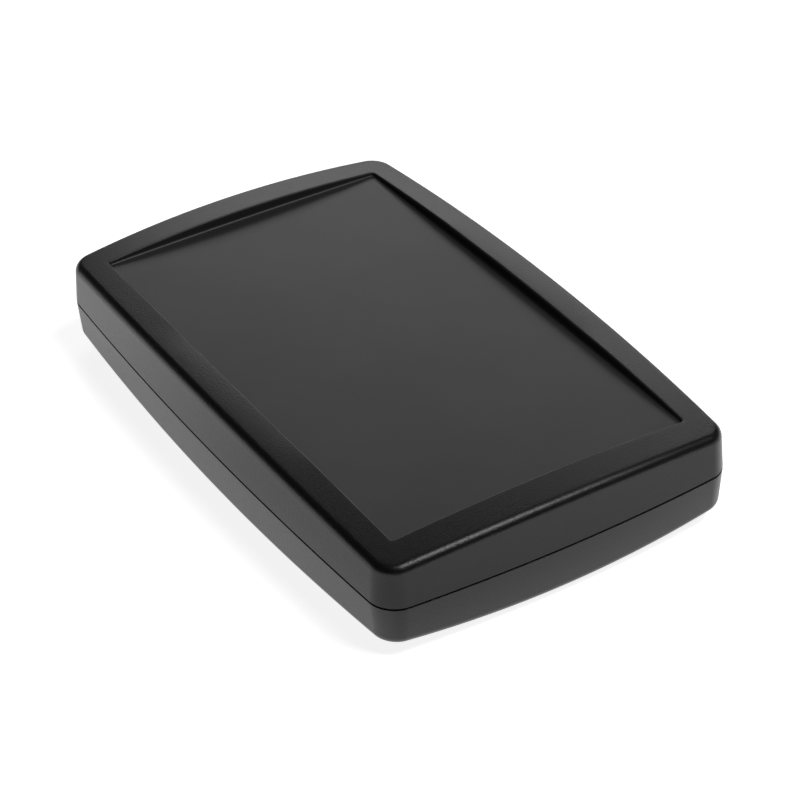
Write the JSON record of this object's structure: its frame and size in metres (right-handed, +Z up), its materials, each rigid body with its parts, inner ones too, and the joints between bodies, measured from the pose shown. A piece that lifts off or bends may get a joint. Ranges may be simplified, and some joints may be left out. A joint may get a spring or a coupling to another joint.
{
  "type": "handheld electronics enclosure",
  "caption": "Black moulded hand-held electronics case: two domed shells with bowed sides, screwed together from below, with a sunk field on top for a keypad.",
  "frame": {"origin": "middle of the flat base, under the crowns of both domed faces", "axes": "+Y along the length, +X across the width, +Z up towards the keypad field"},
  "size_m": [0.0904, 0.145, 0.025],
  "materials": {
    "case_plastic": "fine moulded satin grain",
    "screw_steel": "zinc plated"
  },
  "bodies": {
    "root": {"top_shell": "case_plastic", "bottom_shell": "case_plastic", "case_screws": "screw_steel"}
  },
  "joints": []
}
